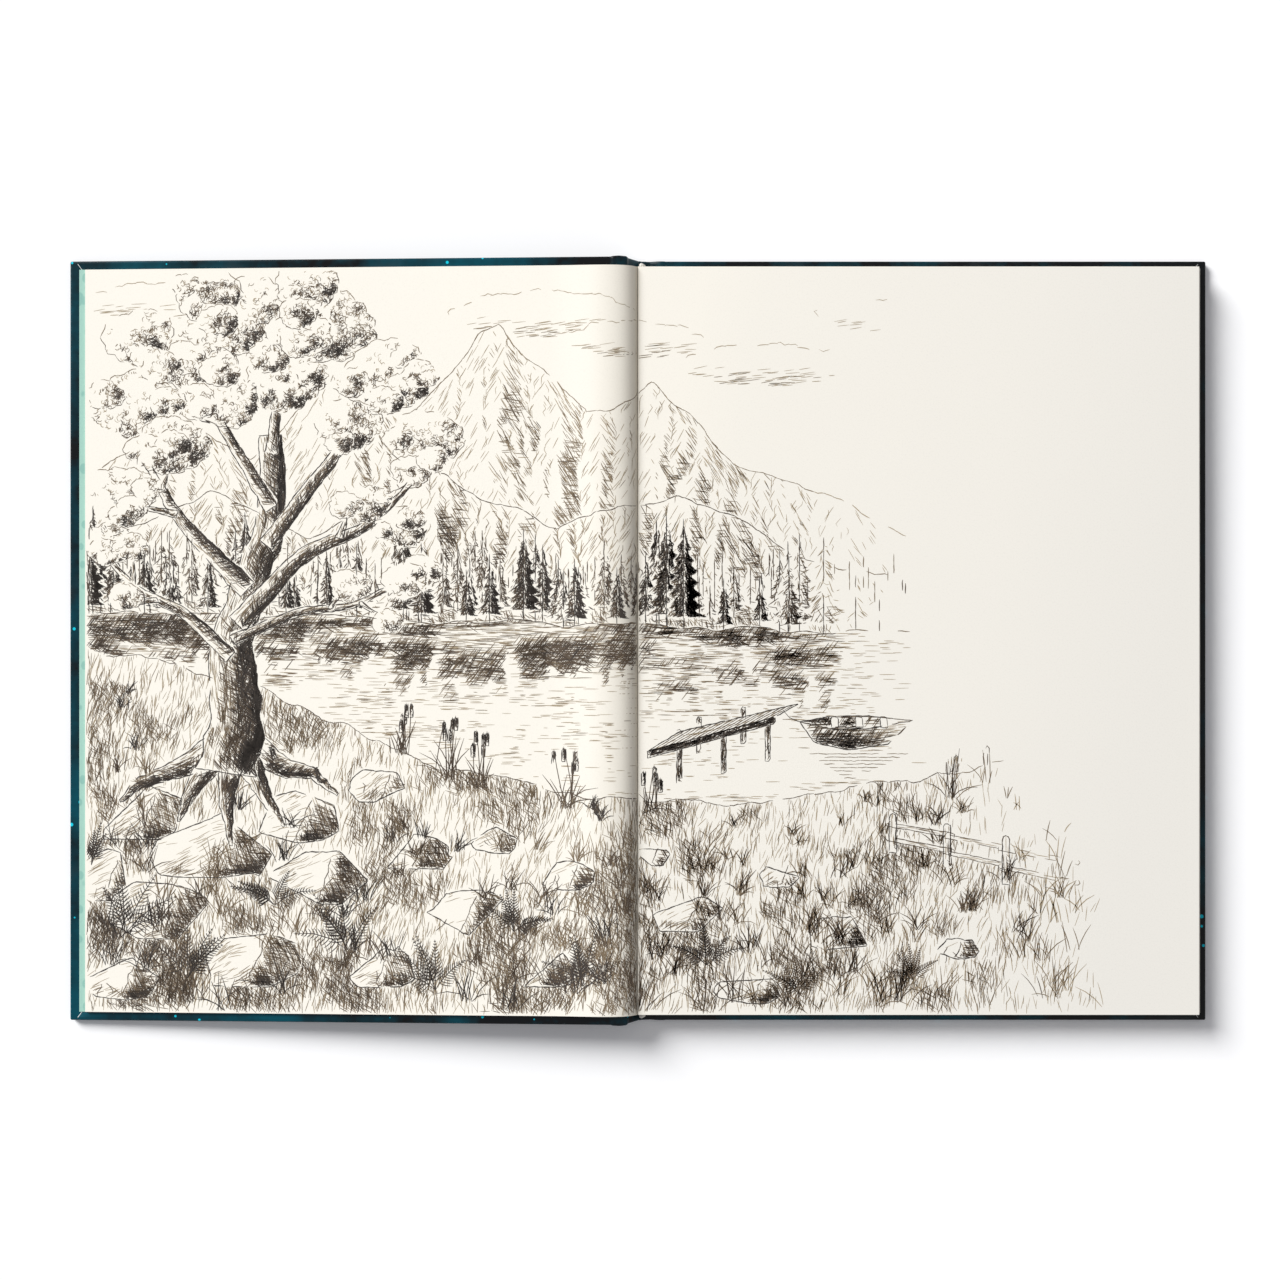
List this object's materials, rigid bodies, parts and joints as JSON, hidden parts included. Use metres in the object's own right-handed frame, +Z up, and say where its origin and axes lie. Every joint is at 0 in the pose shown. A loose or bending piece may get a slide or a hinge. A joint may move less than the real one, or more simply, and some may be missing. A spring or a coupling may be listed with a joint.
{
  "type": "hardback picture book",
  "caption": "Large hardback picture book lying open near its front, with hinged covers, a hollow spine and sewn leaves.",
  "frame": {"origin": "centre of the bounding box's underside, on the surface that the open book lies on", "axes": "+X across the spread from the left page to the right one, +Y up the pages to the head, +Z up off the table"},
  "size_m": [0.467, 0.312, 0.0171],
  "materials": {
    "page_paper": "matte",
    "endpaper": "matte",
    "cover_paper": "gloss",
    "greyboard": "matte",
    "cotton": "matte"
  },
  "bodies": {
    "right_half": {"back_cover_wrap": "cover_paper", "back_board": "greyboard", "back_pastedown": "endpaper", "right_leaves": "page_paper", "spine_lining": "cotton", "headband": "cotton", "tailband": "cotton", "back_joint": "cover_paper"},
    "spine": {"spine_wrap": "cover_paper", "spine_board": "greyboard"},
    "left_half": {"front_cover_wrap": "cover_paper", "front_board": "greyboard", "front_pastedown": "endpaper", "left_leaves": "page_paper", "front_joint": "cover_paper"}
  },
  "joints": [
    {"name": "back_hinge", "type": "hinge", "parent": "right_half", "child": "spine", "pos_m": [-0.00105, 0, 0.0069], "axis": [0, 1, 0], "range_deg": [0, 30], "deforming": ["back_joint"]},
    {"name": "front_hinge", "type": "hinge", "parent": "spine", "child": "left_half", "pos_m": [-0.0022, 0, 0.01479], "axis": [0, 1, 0], "range_deg": [0, 152.98], "deforming": ["front_joint", "left_leaves"]}
  ],
  "couplings": [
    {"joint": "back_hinge", "follows": "front_hinge", "ratio": 0.19608}
  ]
}
